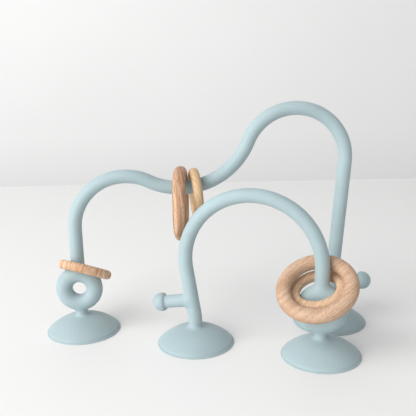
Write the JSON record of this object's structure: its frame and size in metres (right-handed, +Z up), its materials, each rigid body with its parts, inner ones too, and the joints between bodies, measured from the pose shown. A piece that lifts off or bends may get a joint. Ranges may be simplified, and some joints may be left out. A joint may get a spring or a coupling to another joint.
{
  "type": "teething ring toy",
  "caption": "Wavy silicone arches on suction cups, with end loops and knobbed pegs that link them, and wooden teething rings that slide and swing along the tubes.",
  "frame": {"origin": "middle of the toy's box, on the surface that it stands on", "axes": "+X along the long arch from its loop foot to its peg foot, -Y from the long arch towards the short arch, +Z up"},
  "size_m": [0.3042, 0.1408, 0.2076],
  "materials": {
    "silicone": "matte moulded silicone, dusty blue",
    "beech_large_rings": "sanded bare beech, fine grain with small flecks",
    "beech_small_rings": "sanded bare beech, fine grain with small flecks"
  },
  "bodies": {
    "long_arch": {"long_arch_tube": "silicone", "long_arch_loop": "silicone", "long_arch_loop_cup": "silicone", "long_arch_peg": "silicone", "long_arch_peg_cup": "silicone"},
    "short_arch": {"short_arch_tube": "silicone", "short_arch_loop": "silicone", "short_arch_loop_cup": "silicone", "short_arch_peg": "silicone", "short_arch_peg_cup": "silicone"},
    "leg_ring": {"small_ring_on_leg": "beech_small_rings"},
    "large_hanging_ring": {"large_ring_in_dip": "beech_large_rings"},
    "small_hanging_ring": {"small_ring_in_dip": "beech_small_rings"},
    "small_stacked_ring": {"small_ring_on_loop": "beech_small_rings"},
    "large_stacked_ring": {"large_ring_on_top": "beech_large_rings"}
  },
  "joints": [
    {"name": "short_arch_clear", "type": "slide", "parent": "long_arch", "child": "short_arch", "axis": [0, -1, 0], "range_m": [0, 0.08]},
    {"name": "leg_ring_slide", "type": "slide", "parent": "long_arch", "child": "leg_ring", "axis": [0, 0, 1], "range_m": [0, 0.055]},
    {"name": "large_hanging_ring_swing", "type": "hinge", "parent": "long_arch", "child": "large_hanging_ring", "pos_m": [-0.02342, 0.0364, 0.13334], "axis": [1, 0, 0], "range_deg": [0, 80]},
    {"name": "small_hanging_ring_travel", "type": "hinge", "parent": "long_arch", "child": "small_hanging_ring", "pos_m": [-0.02271, 0.0364, 0.19873], "axis": [0, -1, 0], "range_deg": [0, 50]},
    {"name": "small_stacked_ring_travel", "type": "hinge", "parent": "short_arch", "child": "small_stacked_ring", "pos_m": [0.03528, -0.0136, 0.0769], "axis": [-0.2957, -0.9553, 0], "range_deg": [0, 75]},
    {"name": "large_stacked_ring_travel", "type": "hinge", "parent": "small_stacked_ring", "child": "large_stacked_ring", "pos_m": [0.03528, -0.0136, 0.0769], "axis": [-0.2957, -0.9553, 0], "range_deg": [0, 110]}
  ]
}
